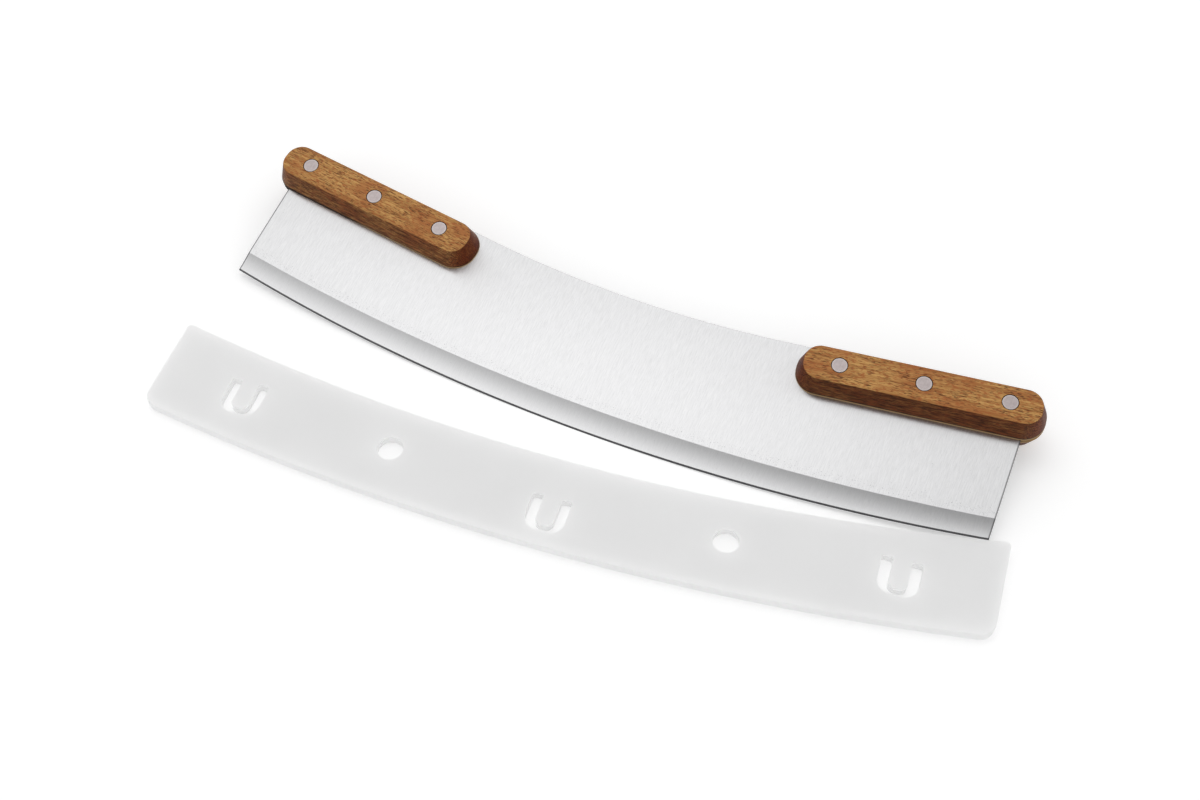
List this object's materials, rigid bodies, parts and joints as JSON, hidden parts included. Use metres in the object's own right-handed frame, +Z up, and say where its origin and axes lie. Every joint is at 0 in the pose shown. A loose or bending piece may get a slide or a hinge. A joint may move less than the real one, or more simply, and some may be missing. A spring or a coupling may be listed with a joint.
{
  "type": "rocking pizza knife",
  "caption": "Rocking pizza knife: a long curved steel blade with a riveted wooden handle at each end of its spine, and its slotted plastic blade cover lying beside the edge.",
  "frame": {"origin": "on the table, under the middle of the box round the knife and its cover as they lie", "axes": "+X along the knife, to the right as seen from the edge; +Y on the table, away from the cutting edge; +Z up"},
  "size_m": [0.3748, 0.1517, 0.027],
  "materials": {
    "blade_steel": "brushed across its length, finer on the ground bevel",
    "handle_wood": "oiled, open grained",
    "rivet_metal": "satin, ground flush",
    "cover_plastic": "milky, slightly translucent, satin"
  },
  "bodies": {
    "knife": {"blade": "blade_steel", "left_front_scale": "handle_wood", "left_back_scale": "handle_wood", "right_front_scale": "handle_wood", "right_back_scale": "handle_wood", "left_outer_rivet_socket": "rivet_metal", "left_middle_rivet_socket": "rivet_metal", "left_inner_rivet_socket": "rivet_metal", "right_outer_rivet_socket": "rivet_metal", "right_middle_rivet_socket": "rivet_metal", "right_inner_rivet_socket": "rivet_metal", "left_outer_rivet_pin": "rivet_metal", "left_middle_rivet_pin": "rivet_metal", "left_inner_rivet_pin": "rivet_metal", "right_outer_rivet_pin": "rivet_metal", "right_middle_rivet_pin": "rivet_metal", "right_inner_rivet_pin": "rivet_metal"},
    "cover": {"cover_rim": "cover_plastic", "cover_front_wall": "cover_plastic", "cover_back_wall": "cover_plastic"}
  },
  "joints": [
    {"name": "cover_slide", "type": "slide", "parent": "knife", "child": "cover", "axis": [0.1054, -0.9944, 0], "range_m": [0, 0.06]}
  ]
}
